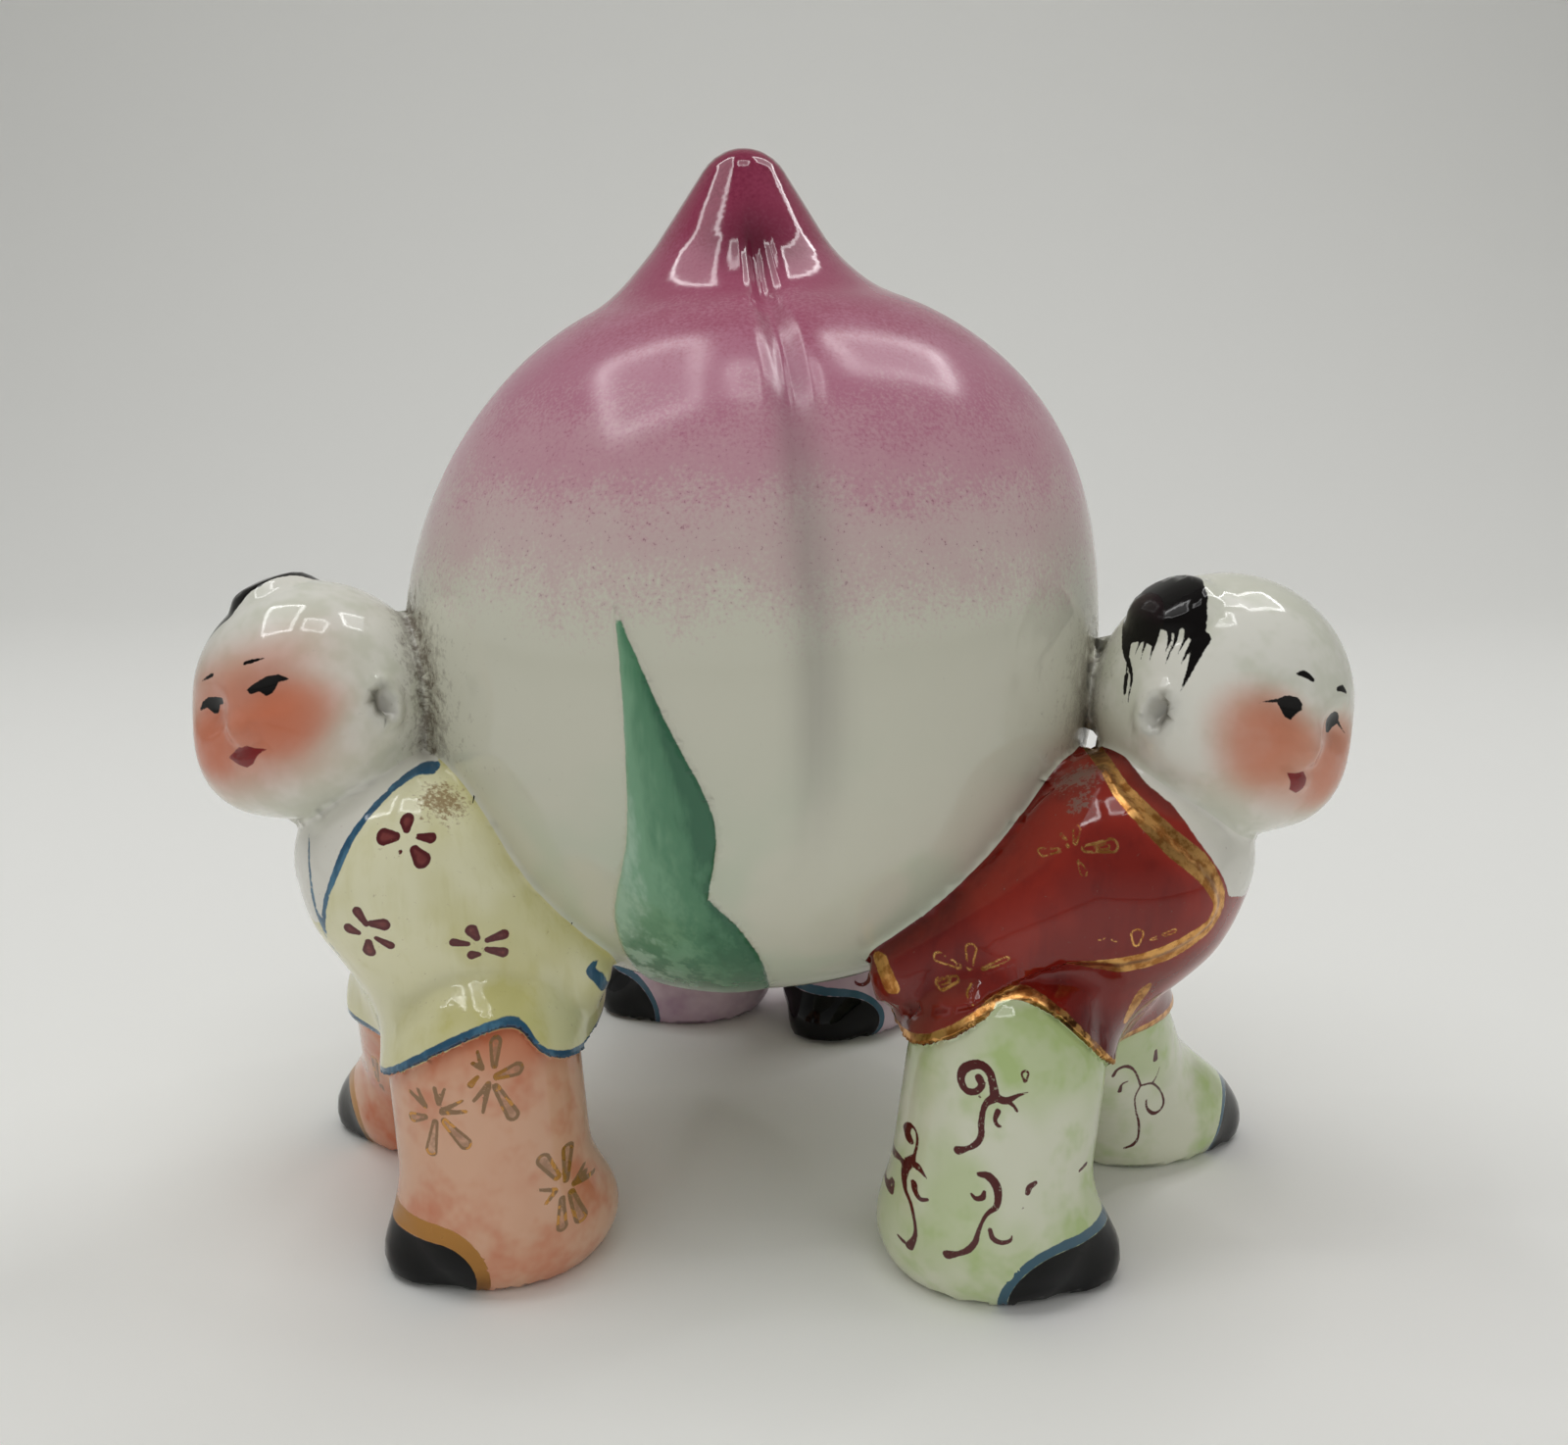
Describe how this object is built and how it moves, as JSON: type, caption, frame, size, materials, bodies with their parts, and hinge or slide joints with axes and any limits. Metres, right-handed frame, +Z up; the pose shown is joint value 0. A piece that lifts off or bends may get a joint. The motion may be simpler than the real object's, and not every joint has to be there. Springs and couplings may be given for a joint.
{
  "type": "porcelain figure of boys carrying a peach",
  "caption": "Glazed porcelain figure, cast and fused as one: stocky boys bent forward round a giant pointed peach that they carry on their backs.",
  "frame": {"origin": "on the ground, under the middle of the figure's own box", "axes": "+Z up, +X from the boy in yellow to the boy in red, -Y out of the front, where the peach shows its leaf and seam"},
  "size_m": [0.1378, 0.1226, 0.1296],
  "materials": {
    "porcelain": "clear glossy glaze over hand-painted enamels: pink peach tip, green leaf, coloured clothes, gold and blue trims"
  },
  "bodies": {
    "root": {"peach_and_boys": "porcelain"}
  },
  "joints": []
}
